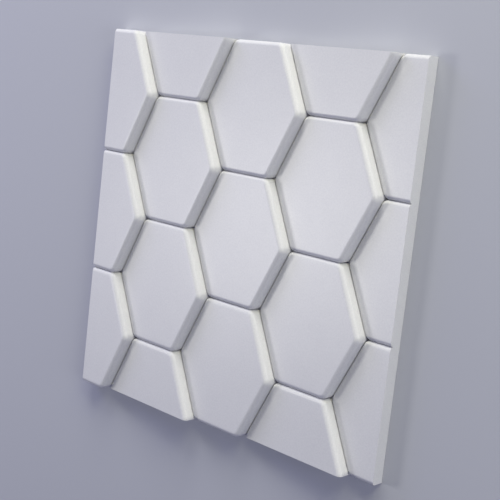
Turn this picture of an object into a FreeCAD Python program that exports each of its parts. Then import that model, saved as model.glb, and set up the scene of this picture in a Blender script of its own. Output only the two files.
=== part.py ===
import FreeCAD, Part
import Sketcher
import math
import os

# Square cast wall tile with a honeycomb relief. Every cell is a hexagonal block whose
# face leans up to the right, so it stands proud of the lower cells on its right.
# The tile lies on its flat back: +Z out of the relief, +X and +Y along the edges,
# origin at the centre of the back.

doc = FreeCAD.newDocument("WallPanel")

# Driving dimensions, millimetres and degrees
drivingSizes = [
    ("panelWidth", 600, "tile size along X"),
    ("panelLength", 600, "tile size along Y"),
    ("backingThickness", 5, "solid back under the joints between cells"),
    ("cellHeight", 200, "cell size along Y, across its two flat edges"),
    ("flatEdge", 100, "length of a cell's two edges along X"),
    ("slantRun", 50, "reach of a slanted edge along X"),
    ("reliefShift", 4, "distance of a cell's centre line inside the tile's left edge"),
    ("faceHeight", 24.5, "height of a cell's face on its centre line"),
    ("faceTilt", 6.85, "lean of a cell's face about Y"),
    ("cornerRadius", 13, "round on a cell's six upright corners"),
    ("lipRadius", 6.5, "round where a cell's face turns into its sides"),
]

sheet = doc.addObject("Spreadsheet::Sheet", "sizes")
for row, (alias, value, meaning) in enumerate(drivingSizes, start=1):
    sheet.set(f"A{row}", meaning)
    sheet.set(f"B{row}", str(value))
    sheet.setAlias(f"B{row}", alias)
doc.recompute()

cellReach = "(sizes.flatEdge / 2 + sizes.slantRun)"
faceSlope = "tan(sizes.faceTilt)"


def addSketch(body, name, planeRole):
    sketch = body.newObject("Sketcher::SketchObject", name)
    plane = next(p for p in body.Origin.OriginFeatures if p.Role == planeRole)
    sketch.AttachmentSupport = [(plane, "")]
    sketch.MapMode = "FlatFace"
    return sketch


def addPolygon(sketch, corners):
    """Closed outline of straight lines; line i runs from corner i to corner i + 1."""
    points = [FreeCAD.Vector(x, y, 0) for x, y in corners]
    count = len(points)
    for i in range(count):
        sketch.addGeometry(Part.LineSegment(points[i], points[(i + 1) % count]), False)
    for i in range(count):
        sketch.addConstraint(Sketcher.Constraint("Coincident", i, 2, (i + 1) % count, 1))


def bind(sketch, name, expression, *place):
    """A named dimension of the sketch that follows the sheet."""
    index = sketch.addConstraint(Sketcher.Constraint(*place))
    sketch.renameConstraint(index, name)
    sketch.setExpression(f"Constraints.{name}", expression)


def makeCell():
    body = doc.addObject("PartDesign::Body", "cell")
    halfFlat = sheet.flatEdge / 2
    reach = halfFlat + sheet.slantRun
    halfHeight = sheet.cellHeight / 2
    slope = math.tan(math.radians(sheet.faceTilt))

    # Hexagon with flat edges above and below, and points to the left and right
    outline = addSketch(body, "cellOutline", "XY_Plane")
    addPolygon(outline, [(-halfFlat, halfHeight), (halfFlat, halfHeight), (reach, 0),
                         (halfFlat, -halfHeight), (-halfFlat, -halfHeight), (-reach, 0)])
    outline.addConstraint(Sketcher.Constraint("Symmetric", 0, 1, 0, 2, -2))
    outline.addConstraint(Sketcher.Constraint("Symmetric", 3, 1, 3, 2, -2))
    outline.addConstraint(Sketcher.Constraint("Symmetric", 1, 1, 2, 2, -1))
    outline.addConstraint(Sketcher.Constraint("Symmetric", 1, 2, 4, 2, -2))
    outline.addConstraint(Sketcher.Constraint("PointOnObject", 1, 2, -1))
    bind(outline, "flatEdge", "sizes.flatEdge", "DistanceX", 0, 1, 0, 2, 2 * halfFlat)
    bind(outline, "height", "sizes.cellHeight", "DistanceY", 2, 2, 1, 1, 2 * halfHeight)
    bind(outline, "width", f"2 * {cellReach}", "DistanceX", 4, 2, 1, 2, 2 * reach)

    block = body.newObject("PartDesign::Pad", "cellBlock")
    block.Profile = outline
    block.setExpression("Length", f"sizes.faceHeight + 2 * {cellReach} * {faceSlope}")
    doc.recompute()

    # Wedge above the leaning face, wider than the cell, cut right through along Y
    wedge = addSketch(body, "faceWedge", "XZ_Plane")
    side = 1.5 * reach
    low, high = sheet.faceHeight - side * slope, sheet.faceHeight + side * slope
    top = sheet.faceHeight + 2 * reach * slope
    addPolygon(wedge, [(-side, low), (side, high), (side, top), (-side, top)])
    wedge.addConstraint(Sketcher.Constraint("Vertical", 1))
    wedge.addConstraint(Sketcher.Constraint("Vertical", 3))
    wedge.addConstraint(Sketcher.Constraint("Symmetric", 2, 1, 2, 2, -2))
    bind(wedge, "width", f"3 * {cellReach}", "DistanceX", 2, 2, 2, 1, 2 * side)
    bind(wedge, "top", f"sizes.faceHeight + 2 * {cellReach} * {faceSlope}",
         "DistanceY", -1, 1, 2, 1, top)
    bind(wedge, "highEnd", f"sizes.faceHeight + 1.5 * {cellReach} * {faceSlope}",
         "DistanceY", -1, 1, 0, 2, high)
    bind(wedge, "lowEnd", f"sizes.faceHeight - 1.5 * {cellReach} * {faceSlope}",
         "DistanceY", -1, 1, 0, 1, low)

    face = body.newObject("PartDesign::Pocket", "leaningFace")
    face.Profile = wedge
    face.Type = "ThroughAll"
    face.Midplane = True
    doc.recompute()

    corners = body.newObject("PartDesign::Fillet", "cornerRounds")
    corners.Base = (face, uprightEdges(face.Shape))
    corners.setExpression("Radius", "sizes.cornerRadius")
    doc.recompute()

    lip = body.newObject("PartDesign::Fillet", "lip")
    lip.Base = (corners, [leaningFaceName(corners.Shape)])
    lip.setExpression("Radius", "sizes.lipRadius")
    doc.recompute()
    return body


def uprightEdges(shape):
    def upright(edge):
        first, last = edge.Vertexes[0].Point, edge.Vertexes[-1].Point
        return math.hypot(first.x - last.x, first.y - last.y) < 1e-6

    return [f"Edge{i}" for i, edge in enumerate(shape.Edges, start=1) if upright(edge)]


def leaningFaceName(shape):
    highest = max(range(len(shape.Faces)), key=lambda i: shape.Faces[i].CenterOfMass.z)
    return f"Face{highest + 1}"


def placeCells(cell):
    """Columns one pitch apart; every second column is shifted by half a cell."""
    placed = []
    pitch = sheet.flatEdge + sheet.slantRun
    reach = sheet.flatEdge / 2 + sheet.slantRun
    firstColumn = math.floor(-(sheet.reliefShift + reach) / pitch) + 1
    lastColumn = math.ceil((sheet.panelWidth - sheet.reliefShift + reach) / pitch) - 1
    for column in range(firstColumn, lastColumn + 1):
        shifted = column % 2 == 0
        overhang = 0 if shifted else sheet.cellHeight / 2
        rowCount = math.ceil((sheet.panelLength + overhang) / sheet.cellHeight)
        for row in range(rowCount):
            link = doc.addObject("App::Link", f"cell_{column}_{row}")
            link.LinkedObject = cell
            rowSteps = row + 0.5 if shifted else row
            link.setExpression("Placement.Base.x",
                               "-sizes.panelWidth / 2 + sizes.reliefShift"
                               f" + {column} * (sizes.flatEdge + sizes.slantRun)")
            link.setExpression("Placement.Base.y",
                               f"-sizes.panelLength / 2 + {rowSteps} * sizes.cellHeight")
            placed.append(link)
    return placed


def addPanelBox(name, heightExpression):
    box = doc.addObject("Part::Box", name)
    box.setExpression("Length", "sizes.panelWidth")
    box.setExpression("Width", "sizes.panelLength")
    box.setExpression("Height", heightExpression)
    box.setExpression("Placement.Base.x", "-sizes.panelWidth / 2")
    box.setExpression("Placement.Base.y", "-sizes.panelLength / 2")
    return box


def makePanel():
    cell = makeCell()
    backing = addPanelBox("backing", "sizes.backingThickness")
    relief = doc.addObject("Part::MultiFuse", "relief")
    relief.Shapes = placeCells(cell) + [backing]
    relief.Refine = True
    outerBox = addPanelBox("outerBox", f"sizes.faceHeight + 2 * {cellReach} * {faceSlope}")
    panel = doc.addObject("Part::Common", "wallPanel")
    panel.Base = relief
    panel.Tool = outerBox
    panel.Refine = True
    panel.Label = "wall_panel"
    return panel


panel = makePanel()
doc.recompute()

for item in doc.Objects:
    if "Invalid" in item.State or "Error" in item.State:
        raise RuntimeError(f"{item.Name} failed: {item.State}")

os.makedirs("parts", exist_ok=True)
for piece in [panel]:
    shape = piece.Shape
    if shape.isNull() or not shape.isValid() or len(shape.Solids) != 1:
        raise RuntimeError(f"{piece.Label} isn't one valid solid")
    shape.exportStep(f"parts/{piece.Label}.step")
    box = shape.BoundBox
    print(f"{piece.Label}: {box.XLength:.2f} x {box.YLength:.2f} x {box.ZLength:.2f} mm, "
          f"{shape.Volume / 1e6:.3f} litres, {len(shape.Faces)} faces")
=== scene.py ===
import math
import bmesh
import bpy
from mathutils import Matrix, Vector, noise
from mathutils.geometry import delaunay_2d_cdt


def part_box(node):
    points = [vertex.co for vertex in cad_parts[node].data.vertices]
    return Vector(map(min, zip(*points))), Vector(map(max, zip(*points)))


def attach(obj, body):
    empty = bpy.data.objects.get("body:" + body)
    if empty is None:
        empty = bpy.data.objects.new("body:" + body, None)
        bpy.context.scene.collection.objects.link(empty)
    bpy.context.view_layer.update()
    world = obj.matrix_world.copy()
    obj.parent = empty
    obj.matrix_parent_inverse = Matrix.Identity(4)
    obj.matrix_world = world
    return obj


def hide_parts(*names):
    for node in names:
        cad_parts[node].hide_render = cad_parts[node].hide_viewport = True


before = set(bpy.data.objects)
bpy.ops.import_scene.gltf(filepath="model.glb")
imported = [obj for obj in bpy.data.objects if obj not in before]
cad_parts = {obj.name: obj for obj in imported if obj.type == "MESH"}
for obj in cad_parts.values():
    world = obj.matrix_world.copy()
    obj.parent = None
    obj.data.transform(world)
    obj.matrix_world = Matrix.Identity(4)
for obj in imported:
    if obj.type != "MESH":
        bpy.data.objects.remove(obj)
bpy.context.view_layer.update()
low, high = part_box("wall_panel")

# Square wall tile cast in white gypsum, lying on its flat back with the honeycomb relief up.
# The tile is one casting, so one mesh stands for it, made on the same sizes as the solid.


def linearColor(hexColor):
    # sRGB hex to the linear values that shaders and lamps work in
    channels = [int(hexColor[i:i + 2], 16) / 255 for i in (1, 3, 5)]
    linear = [c / 12.92 if c <= 0.04045 else ((c + 0.055) / 1.055) ** 2.4 for c in channels]
    return (*linear, 1.0)


def addNode(tree, kind, settings=None, links=None):
    # settings: sockets or properties by name; links: input name or number -> output socket
    node = tree.nodes.new(kind)
    for key, value in (settings or {}).items():
        if key in node.inputs:
            node.inputs[key].default_value = value
        else:
            setattr(node, key, value)
    for key, source in (links or {}).items():
        tree.links.new(source, node.inputs[key])
    return node


tile = {                        # metres, and degrees for angles
    "cellHeight": 0.200,        # across a cell's two flat edges
    "flatEdge": 0.100,
    "slantRun": 0.050,          # reach of a slanted edge along X
    "leftInset": 0.004,         # from the tile's left edge to a cell's centre line
    "faceHeight": 0.0245,       # a face's height on its cell's centre line
    "faceTilt": 6.85,           # every face rises to the right
    "cornerRadius": 0.013,
    "lipRadius": 0.0065,
    "pitLevel": 0.005,          # solid left under the small pits where three cells meet
    "edgeStep": 0.003,          # between points along a cell's straight edges
    "cornerStep": 0.0013,       # between points round its corners
    "lipSteps": 10,             # facets over the rounded lip
    "wallSteps": 4,             # facets down a step to the next cell
    "faceStep": 0.006,          # between points on the flat of a face
    "rowRatio": 0.866,          # height of an even triangle over its side
    "faceMargin": 1.15,         # lip radii left free between a cell's edge and those points
    "waver": 0.00004,           # a cast face is that far from truly flat
    "waverLength": 0.070,
    "flatFacing": 0.99999,      # cosine above which a facet belongs to the leaning face
    "sharpAngle": 35,           # facets that turn by more keep a crisp edge between them
    "weld": 0.000002,           # points nearer than this are one
    "flatWeld": 0.0000001,      # the same while the flat is divided into triangles
}

halfFlat = tile["flatEdge"] / 2
reach = halfFlat + tile["slantRun"]
halfHeight = tile["cellHeight"] / 2
pitch = tile["flatEdge"] + tile["slantRun"]
slope = math.tan(math.radians(tile["faceTilt"]))
faceNormal = Vector((-slope, 0, 1)).normalized()
hexagon = [Vector(c) for c in ((reach, 0), (halfFlat, halfHeight), (-halfFlat, halfHeight),
                               (-reach, 0), (-halfFlat, -halfHeight), (halfFlat, -halfHeight))]


def cellCentres():
    # every cell that touches the tile, on the honeycomb grid
    centres = []
    for column in range(math.ceil((high.x - low.x + reach) / pitch)):
        shifted = column % 2 == 0
        rows = round((high.y - low.y) / tile["cellHeight"]) + (2 if shifted else 1)
        start = low.y - (halfHeight if shifted else 0)
        x = low.x + tile["leftInset"] + column * pitch
        centres += [(x, start + row * tile["cellHeight"]) for row in range(rows)]
    return centres


def cellOutline():
    # Points round a cell, each with its outward direction and what the stretch after it meets:
    # a "step" down to the next cell, a "joint" with a cell just as high there, or a "pit".
    radius = tile["cornerRadius"]
    edges = [hexagon[(i + 1) % 6] - hexagon[i] for i in range(6)]
    turns = [edges[i - 1].angle(edges[i]) for i in range(6)]
    cuts = [radius * math.tan(turn / 2) for turn in turns]    # from a corner to its round's end
    apart = max(cuts)           # nearer a corner than this, one of the two cells bends away
    outline = []
    for i, corner in enumerate(hexagon):
        ahead, behind = edges[i].normalized(), edges[i - 1].normalized()
        outward = Vector((ahead.y, -ahead.x))
        centre = corner + ahead * cuts[i] - outward * radius
        first = math.atan2(-behind.x, behind.y)
        steps = 2 * round(radius * turns[i] / tile["cornerStep"] / 2)
        straightAfter = apart - cuts[i] > tile["weld"]
        for k in range(steps + 1 if straightAfter else steps):
            way = Vector((math.cos(first + turns[i] * k / steps),
                          math.sin(first + turns[i] * k / steps)))
            outline.append((centre + way * radius, way, "pit"))
        stretch = edges[i].length - 2 * apart
        count = round(stretch / tile["edgeStep"])
        for k in range(count):
            point = corner + ahead * (apart + stretch * k / count)
            outline.append((point, outward, "step" if i in (0, 5) else "joint"))
        if apart - cuts[(i + 1) % 6] > tile["weld"]:
            outline.append((corner + ahead * (apart + stretch), outward, "pit"))
    return outline


def rimLevel(point, outward, cellX):
    # lower end of the rounded lip, where the upright wall starts
    radius = tile["lipRadius"]
    rise = (point.x - outward.x * radius - cellX) * slope
    return tile["faceHeight"] + rise - radius / faceNormal.z


def wallLevels(outline, i):
    # heights of the points down the wall at point i of the outline
    point, outward, after = outline[i]
    before = outline[i - 1][2]
    levels = [rimLevel(point, outward, 0)]
    if "step" in (before, after):
        foot = rimLevel(point, -outward, pitch)
        steps = tile["wallSteps"]
        levels += [levels[0] + (foot - levels[0]) * k / steps for k in range(1, steps + 1)]
    if "pit" in (before, after):
        levels.append(tile["pitLevel"])
    return levels


def addLip(bm, outline):
    # rolls a ball round the inside of the walls, just under the leaning face
    radius, steps = tile["lipRadius"], tile["lipSteps"]
    rings = []
    for point, outward, _ in outline:
        side = Vector((outward.x, outward.y, 0))
        centre = Vector((*(point - outward * radius), rimLevel(point, outward, 0)))
        turn = side.angle(faceNormal)
        rings.append([
            bm.verts.new(centre + radius * (side * math.sin(turn * (1 - k / steps))
                                            + faceNormal * math.sin(turn * k / steps))
                         / math.sin(turn))
            for k in range(steps + 1)])
    for i, ring in enumerate(rings):
        last = rings[i - 1]
        for k in range(steps):
            bm.faces.new((last[k], ring[k], ring[k + 1], last[k + 1]))
    return [ring[-1].co.copy() for ring in rings]


def addFace(bm, border):
    # flat of the cell: even triangles between its border and a lattice of points
    step, rowRatio = tile["faceStep"], tile["rowRatio"]
    inset = tile["lipRadius"] * tile["faceMargin"] + step / 2
    edgeWays = [(hexagon[(i + 1) % 6] - c).normalized() for i, c in enumerate(hexagon)]
    points = [Vector((p.x, p.y)) for p in border]
    rows, columns = int(halfHeight / (step * rowRatio)), int(reach / step)
    for row in range(-rows, rows + 1):
        for column in range(-columns - 1, columns + 1):
            p = Vector(((column + (0.5 if row % 2 else 0)) * step, row * step * rowRatio))
            if all((p - c).x * w.y - (p - c).y * w.x < -inset for c, w in zip(hexagon, edgeWays)):
                points.append(p)
    borderLoop = [list(range(len(border)))]
    spots, _, triangles, *_ = delaunay_2d_cdt(points, [], borderLoop, 1, tile["flatWeld"])
    verts = [bm.verts.new((p.x, p.y, tile["faceHeight"] + p.x * slope)) for p in spots]
    for triangle in triangles:
        bm.faces.new([verts[k] for k in triangle])


def addWalls(bm, outline):
    columns = [[bm.verts.new((*outline[i][0], z)) for z in wallLevels(outline, i)]
               for i in range(len(outline))]
    for i, column in enumerate(columns):
        last, meets = columns[i - 1], outline[i - 1][2]
        if meets == "pit":
            bm.faces.new(last + column[::-1])
        elif meets == "step":
            for k in range(tile["wallSteps"]):
                bm.faces.new((last[k], last[k + 1], column[k + 1], column[k]))


def makeCellMesh():
    bm = bmesh.new()
    outline = cellOutline()
    addFace(bm, addLip(bm, outline))
    addWalls(bm, outline)
    bmesh.ops.remove_doubles(bm, verts=bm.verts, dist=tile["weld"])
    mesh = bpy.data.meshes.new("cell")
    bm.to_mesh(mesh)
    bm.free()
    return mesh


def joinCells():
    # all the cells welded into one relief, with the bottoms of its pits filled
    bm = bmesh.new()
    cell = makeCellMesh()
    for x, y in cellCentres():
        known = len(bm.verts)
        bm.from_mesh(cell)
        bm.verts.ensure_lookup_table()
        bmesh.ops.translate(bm, vec=(x, y, 0), verts=bm.verts[known:])
    bpy.data.meshes.remove(cell)
    bmesh.ops.remove_doubles(bm, verts=bm.verts, dist=tile["weld"])
    pitEdges = [e for e in bm.edges if e.is_boundary
                and all(abs(v.co.z - tile["pitLevel"]) < tile["weld"] for v in e.verts)]
    bmesh.ops.holes_fill(bm, edges=pitEdges, sides=0)
    return bm


def cornerKey(x, y):
    return round(x, 3), round(y, 3)


def closeSide(bm, axis, place, feet):
    # one flat side of the tile, from the cut edge of the relief down to the back
    def onRelief(vert):
        return abs(vert.co[axis] - place) < tile["weld"] and vert.co.z > low.z + tile["weld"]

    across = 1 - axis
    edges = [e for e in bm.edges if e.is_boundary and all(onRelief(v) for v in e.verts)]
    linked = {}
    for edge in edges:
        for vert in edge.verts:
            linked.setdefault(vert, []).append(edge)
    ends = sorted((v for v in linked if len(linked[v]) == 1), key=lambda v: v.co[across])
    path, edge = [ends[0]], linked[ends[0]][0]
    while path[-1] != ends[-1]:
        vert = edge.other_vert(path[-1])
        path.append(vert)
        if vert != ends[-1]:
            edge = next(e for e in linked[vert] if e != edge)
    foot = {v: feet[cornerKey(v.co.x, v.co.y)] for v in (path[0], path[-1])}
    return bm.faces.new(path + [foot[path[-1]], foot[path[0]]])


def trimAndClose(bm):
    # cuts the relief off at the tile's four sides, and adds those sides and the back
    sides = [(axis, corner[axis], way) for axis in (0, 1)
             for corner, way in ((low, -1), (high, 1))]
    for axis, place, way in sides:
        spot, outward = Vector(), Vector()
        spot[axis], outward[axis] = place, way
        everything = bm.verts[:] + bm.edges[:] + bm.faces[:]
        bmesh.ops.bisect_plane(bm, geom=everything, dist=tile["weld"], plane_co=spot,
                               plane_no=outward, clear_outer=True)
    feet = {cornerKey(x, y): bm.verts.new((x, y, low.z))
            for x in (low.x, high.x) for y in (low.y, high.y)}
    for axis, place, _ in sides:
        closeSide(bm, axis, place, feet)
    back = bm.faces.new([feet[cornerKey(x, y)] for x, y in
                         ((low.x, low.y), (low.x, high.y), (high.x, high.y), (high.x, low.y))])
    back.material_index = 1
    bmesh.ops.recalc_face_normals(bm, faces=bm.faces)


def addWaver(bm):
    # the flats sink by up to the waver, in slow drifts
    for vert in bm.verts:
        if all(f.normal.dot(faceNormal) > tile["flatFacing"] for f in vert.link_faces):
            drift = noise.noise(vert.co / tile["waverLength"])
            vert.co.z += tile["waver"] * (drift - 1) / 2


def makePanel():
    bm = joinCells()
    trimAndClose(bm)
    addWaver(bm)
    mesh = bpy.data.meshes.new("wallPanelCasting")
    bm.to_mesh(mesh)
    openEdges = sum(not e.is_manifold for e in bm.edges)
    print("relief mesh:", len(bm.verts), "points,", len(bm.faces), "faces,", openEdges,
          "open edges,", round(bm.calc_volume() * 1000, 4), "litres")
    bm.free()
    panel = bpy.data.objects.new("wall_panel_casting", mesh)
    bpy.context.scene.collection.objects.link(panel)
    mesh.shade_smooth()
    mesh.set_sharp_from_angle(angle=math.radians(tile["sharpAngle"]))
    weighted = panel.modifiers.new("evenShading", "WEIGHTED_NORMAL")
    weighted.keep_sharp = True
    return panel


gypsum = {                      # sizes, spacings and depths in mm
    "ior": 1.52,
    "white": "#E3E3E2",         # where the skin of the casting is densest
    "cloud": "#DCDCDC",         # faint clouds left as the cast dries
    "toneEnds": (0.35, 0.65),   # mottle that gives the full cloud and the full white
    "cloudSize": 45,
    "cloudTint": 0.05,          # how far a cloud shifts the surface between white and cloud
    "grainSize": 2.4,           # drawn several times as coarse as the real grain, to show
    "grainDepth": 0.04,
    "grainTint": 0.16,          # the same for the grain
    "poreSpacing": 14,          # between pinholes left by air bubbles
    "poreSize": 0.7,
    "poreDepth": 0.25,
    "poreSlope": (0.4, 1.2),    # radii between which a pinhole's side slopes
    "roughness": (0.33, 0.35),
    "roughnessPatch": 11.25,
    "backWhite": "#DCDBD8",
    "backCloud": "#D4D3CF",
    "backToneEnds": (0.3, 0.7),
    "backCloudSize": 90,
    "backRoughness": (0.62, 0.78),
    "dragSpacing": 2.2,         # between the marks of the straightedge on the back
    "dragDepth": 0.06,
    "dragNarrowing": 0.02,      # a mark's width over its length along Y
}

mmPerMetre = 1000
noiseEnds = {"From Min": 0.3, "From Max": 0.7}    # nearly all of a noise lies between these


def mouldedGypsum():
    # Fine white gypsum plaster cast in a smooth rubber mould: a dense, almost satin skin that
    # gives broad soft highlights on the lips, with faint clouds and a few pinholes.
    material = bpy.data.materials.new("moulded gypsum plaster")
    material.use_nodes = True
    tree = material.node_tree
    shader = tree.nodes["Principled BSDF"]
    shader.inputs["IOR"].default_value = gypsum["ior"]
    place = addNode(tree, "ShaderNodeTexCoord").outputs["Object"]
    cloud = addNode(tree, "ShaderNodeTexNoise",
                    {"Scale": mmPerMetre / gypsum["cloudSize"], "Detail": 3.0}, {"Vector": place})
    grain = addNode(tree, "ShaderNodeTexNoise",
                    {"Scale": mmPerMetre / gypsum["grainSize"], "Detail": 2.0, "Roughness": 0.6},
                    {"Vector": place})
    faint = addNode(tree, "ShaderNodeMapRange",
                    {**noiseEnds, "To Min": 0.5 - gypsum["cloudTint"],
                     "To Max": 0.5 + gypsum["cloudTint"]}, {"Value": cloud.outputs["Fac"]})
    tint = addNode(tree, "ShaderNodeMapRange",
                   {**noiseEnds, "To Min": -gypsum["grainTint"], "To Max": gypsum["grainTint"]},
                   {"Value": grain.outputs["Fac"]})
    mottle = addNode(tree, "ShaderNodeMath", {"operation": "ADD"},
                     {0: faint.outputs["Result"], 1: tint.outputs["Result"]})
    ramp = addNode(tree, "ShaderNodeValToRGB", links={"Fac": mottle.outputs[0]})
    for tone, end, name in zip(ramp.color_ramp.elements, gypsum["toneEnds"], ("cloud", "white")):
        tone.position = end
        tone.color = linearColor(gypsum[name])
    tree.links.new(ramp.outputs["Color"], shader.inputs["Base Color"])
    gloss = addNode(tree, "ShaderNodeTexNoise",
                    {"Scale": mmPerMetre / gypsum["roughnessPatch"], "Detail": 4.0},
                    {"Vector": place})
    dulled = addNode(tree, "ShaderNodeMapRange",
                     {**noiseEnds, "To Min": gypsum["roughness"][0],
                      "To Max": gypsum["roughness"][1]}, {"Value": gloss.outputs["Fac"]})
    tree.links.new(dulled.outputs["Result"], shader.inputs["Roughness"])
    bubble = addNode(tree, "ShaderNodeTexVoronoi", {"Scale": mmPerMetre / gypsum["poreSpacing"]},
                     {"Vector": place})
    radius = gypsum["poreSize"] / gypsum["poreSpacing"] / 2    # in the pattern's own scale
    pore = addNode(tree, "ShaderNodeMapRange",
                   {"interpolation_type": "SMOOTHSTEP",
                    "From Min": radius * gypsum["poreSlope"][0],
                    "From Max": radius * gypsum["poreSlope"][1]},
                   {"Value": bubble.outputs["Distance"]})
    grained = addNode(tree, "ShaderNodeBump", {"Distance": gypsum["grainDepth"] / mmPerMetre},
                      {"Height": grain.outputs["Fac"]})
    pored = addNode(tree, "ShaderNodeBump", {"Distance": gypsum["poreDepth"] / mmPerMetre},
                    {"Height": pore.outputs["Result"], "Normal": grained.outputs["Normal"]})
    tree.links.new(pored.outputs["Normal"], shader.inputs["Normal"])
    return material


def struckGypsum():
    # The open side of the mould, struck off level with a straightedge: duller and more open
    # than the moulded skin, with faint parallel drag marks.
    material = bpy.data.materials.new("struck gypsum plaster")
    material.use_nodes = True
    tree = material.node_tree
    shader = tree.nodes["Principled BSDF"]
    shader.inputs["IOR"].default_value = gypsum["ior"]
    place = addNode(tree, "ShaderNodeTexCoord").outputs["Object"]
    cloud = addNode(tree, "ShaderNodeTexNoise",
                    {"Scale": mmPerMetre / gypsum["backCloudSize"], "Detail": 3.0},
                    {"Vector": place})
    ramp = addNode(tree, "ShaderNodeValToRGB", links={"Fac": cloud.outputs["Fac"]})
    for tone, end, name in zip(ramp.color_ramp.elements, gypsum["backToneEnds"],
                               ("backCloud", "backWhite")):
        tone.position = end
        tone.color = linearColor(gypsum[name])
    tree.links.new(ramp.outputs["Color"], shader.inputs["Base Color"])
    dulled = addNode(tree, "ShaderNodeMapRange",
                     {**noiseEnds, "To Min": gypsum["backRoughness"][0],
                      "To Max": gypsum["backRoughness"][1]}, {"Value": cloud.outputs["Fac"]})
    tree.links.new(dulled.outputs["Result"], shader.inputs["Roughness"])
    drawn = addNode(tree, "ShaderNodeMapping", {"Scale": (1.0, gypsum["dragNarrowing"], 1.0)},
                    {"Vector": place})
    drag = addNode(tree, "ShaderNodeTexNoise",
                   {"Scale": mmPerMetre / gypsum["dragSpacing"], "Detail": 3.0},
                   {"Vector": drawn.outputs["Vector"]})
    bump = addNode(tree, "ShaderNodeBump", {"Distance": gypsum["dragDepth"] / mmPerMetre},
                   {"Height": drag.outputs["Fac"]})
    tree.links.new(bump.outputs["Normal"], shader.inputs["Normal"])
    return material


viewCamera = {
    "position": (1.11633, 0.24022, 1.37855),    # metres, where the photo was taken from
    "aim": (0.03468, -0.01088, 0.0245),
    "roll": -6.4786,                            # degrees
    "lens": 83.6628,                            # mm
    "sensorWidth": 36,                          # mm
}


def makeCamera():
    data = bpy.data.cameras.new("viewCamera")
    data.lens = viewCamera["lens"]
    data.sensor_width = viewCamera["sensorWidth"]
    camera = bpy.data.objects.new("viewCamera", data)
    bpy.context.scene.collection.objects.link(camera)
    position, aim = Vector(viewCamera["position"]), Vector(viewCamera["aim"])
    forward = (aim - position).normalized()
    right = forward.cross(Vector((0, 1, 0))).normalized()
    up = right.cross(forward)
    turn = Matrix.Rotation(math.radians(viewCamera["roll"]), 3, forward)
    axes = Matrix((turn @ right, turn @ up, -forward)).transposed()
    camera.matrix_world = Matrix.Translation(position) @ axes.to_4x4()
    bpy.context.scene.camera = camera


studio = {
    "floorColor": "#BCBEC5",
    "floorRoughness": 0.7,
    "floorHalf": 8.0,               # metres from its middle to its edges
    "floorGap": 0.0002,             # metres under the tile's back
    "backdropColor": "#ABACB3",     # what the floor fades into, out of the light
    "fadeFrom": 0.75,               # metres from the tile's centre
    "fadeTo": 2.2,
    "fillColor": "#B2B8FF",         # faint light from all round
    "fillStrength": 0.18,
    "lampDistance": 3.2,            # metres from the point that the lamps aim at
    "lampAim": (0.0, 0.06, 0.02),
    "softboxes": [
        # name, compass angle from +X, height angle, width, height, watts, colour
        ("topSoftbox", 90, 20, 1.4, 1.4, 60.0, (1.0, 0.99, 0.95)),
        ("topRightSoftbox", 52, 25, 1.4, 1.4, 43.0, (1.0, 0.99, 0.72)),
        ("rightSoftbox", 0, 20, 1.4, 1.4, 27.0, (0.90, 0.91, 1.0)),
        ("leftSoftbox", 145, 20, 1.4, 1.4, 30.0, (0.60, 0.60, 1.0)),
        ("sheenSoftbox", 189, 41.5, 0.8, 0.7, 20.5, (1.0, 0.99, 0.95)),
    ],
}


def seenDirectly(tree):
    # 1 for what the camera, a reflection or clear glass shows, 0 for light that falls on the tile
    rays = addNode(tree, "ShaderNodeLightPath")
    shown = addNode(tree, "ShaderNodeMath", {"operation": "MAXIMUM"},
                    {0: rays.outputs["Is Camera Ray"], 1: rays.outputs["Is Glossy Ray"]})
    return addNode(tree, "ShaderNodeMath", {"operation": "MAXIMUM"},
                   {0: shown.outputs[0], 1: rays.outputs["Is Transmission Ray"]}).outputs[0]


def makeFloor():
    half = studio["floorHalf"]
    mesh = bpy.data.meshes.new("floor")
    corners = [(-half, -half, 0), (half, -half, 0), (half, half, 0), (-half, half, 0)]
    mesh.from_pydata(corners, [], [(0, 1, 2, 3)])
    floor = bpy.data.objects.new("floor", mesh)
    floor.location.z = low.z - studio["floorGap"]
    bpy.context.scene.collection.objects.link(floor)
    mesh.materials.append(floorPaint())


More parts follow.
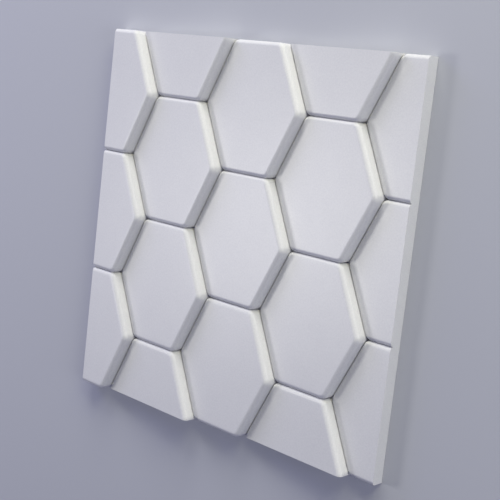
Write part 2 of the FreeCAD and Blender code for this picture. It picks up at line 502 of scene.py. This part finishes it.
def floorPaint():
    # Matt emulsion paint, rolled: even and dull, so it takes the tile's shadow and no glare.
    material = bpy.data.materials.new("matte painted floor")
    material.use_nodes = True
    tree = material.node_tree
    shader = tree.nodes["Principled BSDF"]
    shader.inputs["Base Color"].default_value = linearColor(studio["floorColor"])
    shader.inputs["Roughness"].default_value = studio["floorRoughness"]
    place = addNode(tree, "ShaderNodeTexCoord").outputs["Object"]
    away = addNode(tree, "ShaderNodeVectorMath", {"operation": "LENGTH"}, {0: place})
    fade = addNode(tree, "ShaderNodeMapRange",
                   {"interpolation_type": "SMOOTHSTEP", "From Min": studio["fadeFrom"],
                    "From Max": studio["fadeTo"]}, {"Value": away.outputs["Value"]})
    share = addNode(tree, "ShaderNodeMath", {"operation": "MULTIPLY"},
                    {0: seenDirectly(tree), 1: fade.outputs["Result"]})
    tone = addNode(tree, "ShaderNodeEmission", {"Color": linearColor(studio["backdropColor"])})
    mixed = addNode(tree, "ShaderNodeMixShader", {}, {0: share.outputs[0], 1: shader.outputs[0],
                                                      2: tone.outputs[0]})
    tree.links.new(mixed.outputs[0], tree.nodes["Material Output"].inputs["Surface"])
    return material


def makeWorld():
    world = bpy.data.worlds.new("studio")
    bpy.context.scene.world = world
    world.use_nodes = True
    tree = world.node_tree
    tree.nodes.clear()
    seen = addNode(tree, "ShaderNodeBackground", {"Color": linearColor(studio["backdropColor"])})
    fill = addNode(tree, "ShaderNodeBackground", {"Color": linearColor(studio["fillColor"]),
                                                  "Strength": studio["fillStrength"]})
    mixed = addNode(tree, "ShaderNodeMixShader", {}, {0: seenDirectly(tree),
                                                      1: fill.outputs[0], 2: seen.outputs[0]})
    addNode(tree, "ShaderNodeOutputWorld", {}, {"Surface": mixed.outputs[0]})


def makeLamps():
    aim = Vector(studio["lampAim"])
    for name, compass, height, wide, tall, watts, color in studio["softboxes"]:
        data = bpy.data.lights.new(name, "AREA")
        data.shape = "RECTANGLE"
        data.size, data.size_y = wide, tall
        data.energy = watts
        data.color = color
        lamp = bpy.data.objects.new(name, data)
        bpy.context.scene.collection.objects.link(lamp)
        turn, lift = math.radians(compass), math.radians(height)
        way = Vector((math.cos(lift) * math.cos(turn), math.cos(lift) * math.sin(turn),
                      math.sin(lift)))
        lamp.location = Vector((aim.x, aim.y, 0)) + way * studio["lampDistance"]
        lamp.rotation_euler = (aim - lamp.location).to_track_quat("-Z", "Y").to_euler()
        lamp.visible_camera = False
        lamp.visible_glossy = name == "sheenSoftbox"    # only this one gives the satin its sheen


makeCamera()
makeFloor()
makeWorld()
makeLamps()
print("studio ready")
panel = makePanel()
panel.data.materials.append(mouldedGypsum())
panel.data.materials.append(struckGypsum())
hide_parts("wall_panel")
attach(panel, "root")
print("panel finished")

bpy.context.scene.view_settings.view_transform = "Standard"
